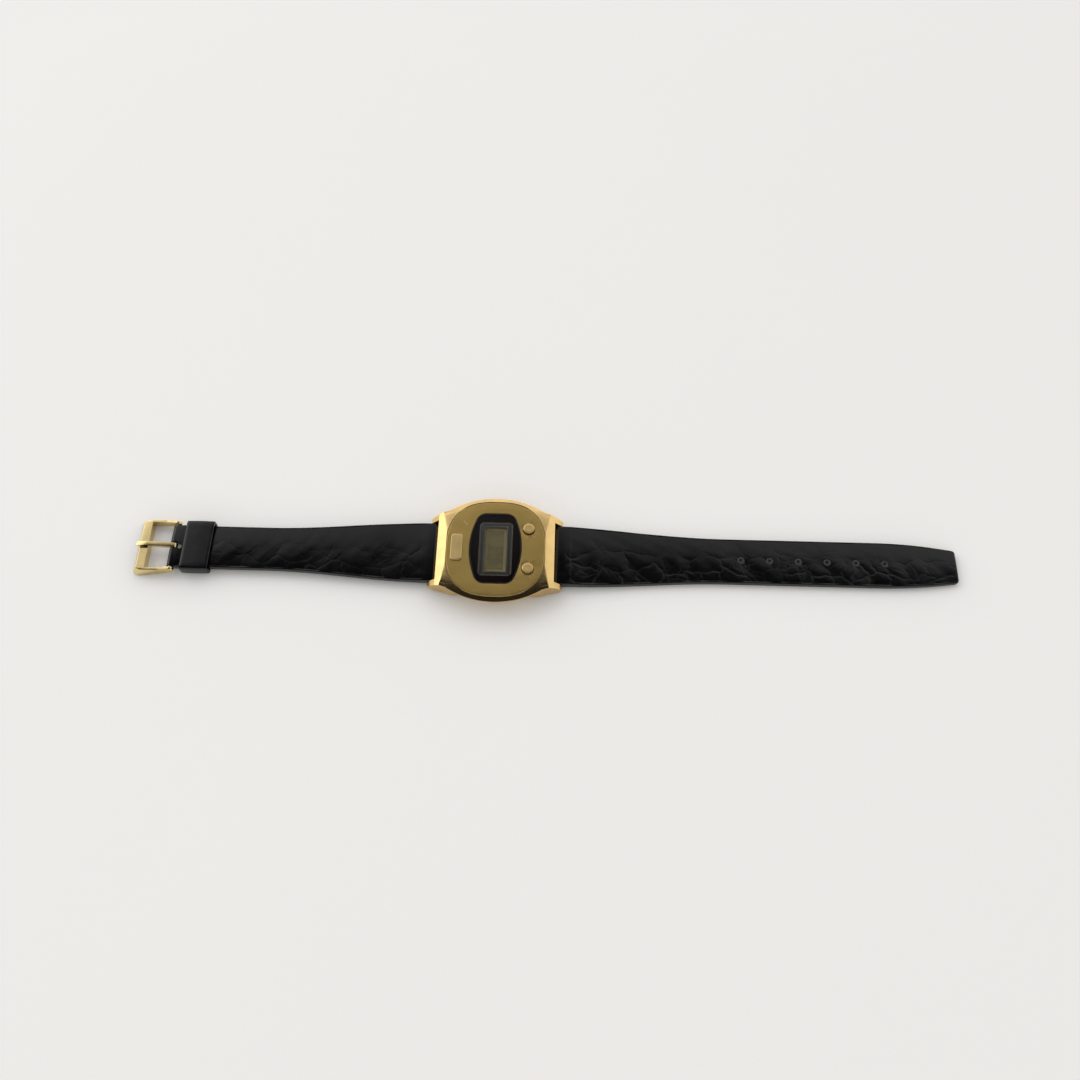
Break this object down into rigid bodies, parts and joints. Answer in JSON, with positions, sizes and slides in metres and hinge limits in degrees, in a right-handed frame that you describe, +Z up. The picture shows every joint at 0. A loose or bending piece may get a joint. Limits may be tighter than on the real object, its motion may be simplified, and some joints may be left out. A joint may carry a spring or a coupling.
{
  "type": "digital wristwatch",
  "caption": "Gold cushion-shaped digital wristwatch with a blank display, push buttons on its face and a tapered black leather strap with keeper and pin buckle.",
  "frame": {"origin": "centre of the case back's flat outer face, which lies on the table", "axes": "+X along the strap towards the tip of the long half, +Y across the strap away from the viewer of the picture, +Z up out of the face"},
  "size_m": [0.2212, 0.0304, 0.0064],
  "materials": {
    "gold_polished": "polished gold plate",
    "gold_satin": "satin brushed gold plate",
    "gold_pale": "polished pale gold plate",
    "steel": "brushed",
    "spring_steel": "bright wire",
    "crystal_glass": "clear polished",
    "mask_black": "gloss",
    "display_grey": "satin",
    "display_olive": "satin",
    "foil": "matt foil",
    "rubber_black": "matt",
    "rubber_grey": "matt",
    "module_plastic": "moulded",
    "board_green": "solder resist",
    "chip_black": "cast resin",
    "ceramic_tan": "fired",
    "leather_black": "glossy scaled leather",
    "leather_lining": "matt calf lining",
    "leather_core": "raw split leather"
  },
  "bodies": {
    "case": {"case_body": "gold_polished", "face_plate": "gold_satin", "badge_plate": "gold_pale", "crystal": "crystal_glass", "crystal_gasket": "rubber_black", "window_mask": "mask_black", "display_frame": "display_grey", "display_polariser": "display_olive", "display_cell": "display_olive", "display_reflector": "foil", "connector_strips": "rubber_grey", "module_frame": "module_plastic", "circuit_board": "board_green", "chip": "chip_black", "quartz_can": "steel", "trimmer": "ceramic_tan", "switch_blades": "gold_pale", "battery": "steel", "battery_contact": "gold_pale", "battery_clamp": "steel", "clamp_screws": "steel", "case_back": "steel", "back_gasket": "rubber_black", "button_far_spring": "spring_steel", "button_near_spring": "spring_steel", "short_bar_tube": "steel", "short_bar_spring": "spring_steel", "long_bar_tube": "steel", "long_bar_spring": "spring_steel"},
    "far_button": {"button_far": "gold_polished", "button_far_seal": "rubber_black", "button_far_clip": "spring_steel"},
    "near_button": {"button_near": "gold_polished", "button_near_seal": "rubber_black", "button_near_clip": "spring_steel"},
    "short_far_pin": {"short_bar_pin_far": "steel"},
    "short_near_pin": {"short_bar_pin_near": "steel"},
    "long_far_pin": {"long_bar_pin_far": "steel"},
    "long_near_pin": {"long_bar_pin_near": "steel"},
    "short_strap": {"short_strap_upper": "leather_black", "short_strap_core": "leather_core", "short_strap_lining": "leather_lining"},
    "long_strap": {"long_strap_upper": "leather_black", "long_strap_core": "leather_core", "long_strap_lining": "leather_lining"},
    "keeper": {"keeper_loop": "leather_black"},
    "buckle": {"buckle_frame": "gold_pale", "buckle_pin": "steel"},
    "tongue": {"buckle_tongue": "gold_pale"}
  },
  "joints": [
    {"name": "far_button_press", "type": "slide", "parent": "case", "child": "far_button", "axis": [0, 0, -1], "range_m": [0, 0.0004], "stiffness_N_per_m": 1500, "springref_m": -0.0003, "deforming": ["button_far_spring"]},
    {"name": "near_button_press", "type": "slide", "parent": "case", "child": "near_button", "axis": [0, 0, -1], "range_m": [0, 0.0004], "stiffness_N_per_m": 1500, "springref_m": -0.0003, "deforming": ["button_near_spring"]},
    {"name": "short_strap_turn", "type": "hinge", "parent": "case", "child": "short_strap", "pos_m": [-0.0168, 0, 0.0017], "axis": [0, 1, 0], "range_deg": [-90, 70]},
    {"name": "long_strap_turn", "type": "hinge", "parent": "case", "child": "long_strap", "pos_m": [0.0168, 0, 0.0017], "axis": [0, -1, 0], "range_deg": [-90, 70]},
    {"name": "keeper_slide", "type": "slide", "parent": "short_strap", "child": "keeper", "axis": [1, 0, 0], "range_m": [0, 0.022]},
    {"name": "buckle_turn", "type": "hinge", "parent": "short_strap", "child": "buckle", "pos_m": [-0.0871, 0, 0.00185], "axis": [0, 1, 0], "range_deg": [-90, 60]},
    {"name": "tongue_turn", "type": "hinge", "parent": "buckle", "child": "tongue", "pos_m": [-0.0871, 0, 0.00185], "axis": [0, 1, 0], "range_deg": [0, 60]},
    {"name": "short_far_pin_slide", "type": "slide", "parent": "case", "child": "short_far_pin", "axis": [0, -1, 0], "range_m": [0, 0.0012], "stiffness_N_per_m": 500, "springref_m": -0.0005, "deforming": ["short_bar_spring"]},
    {"name": "short_near_pin_slide", "type": "slide", "parent": "case", "child": "short_near_pin", "axis": [0, 1, 0], "range_m": [0, 0.0012], "stiffness_N_per_m": 500, "springref_m": -0.0005, "deforming": ["short_bar_spring"]},
    {"name": "long_far_pin_slide", "type": "slide", "parent": "case", "child": "long_far_pin", "axis": [0, -1, 0], "range_m": [0, 0.0012], "stiffness_N_per_m": 500, "springref_m": -0.0005, "deforming": ["long_bar_spring"]},
    {"name": "long_near_pin_slide", "type": "slide", "parent": "case", "child": "long_near_pin", "axis": [0, 1, 0], "range_m": [0, 0.0012], "stiffness_N_per_m": 500, "springref_m": -0.0005, "deforming": ["long_bar_spring"]}
  ]
}
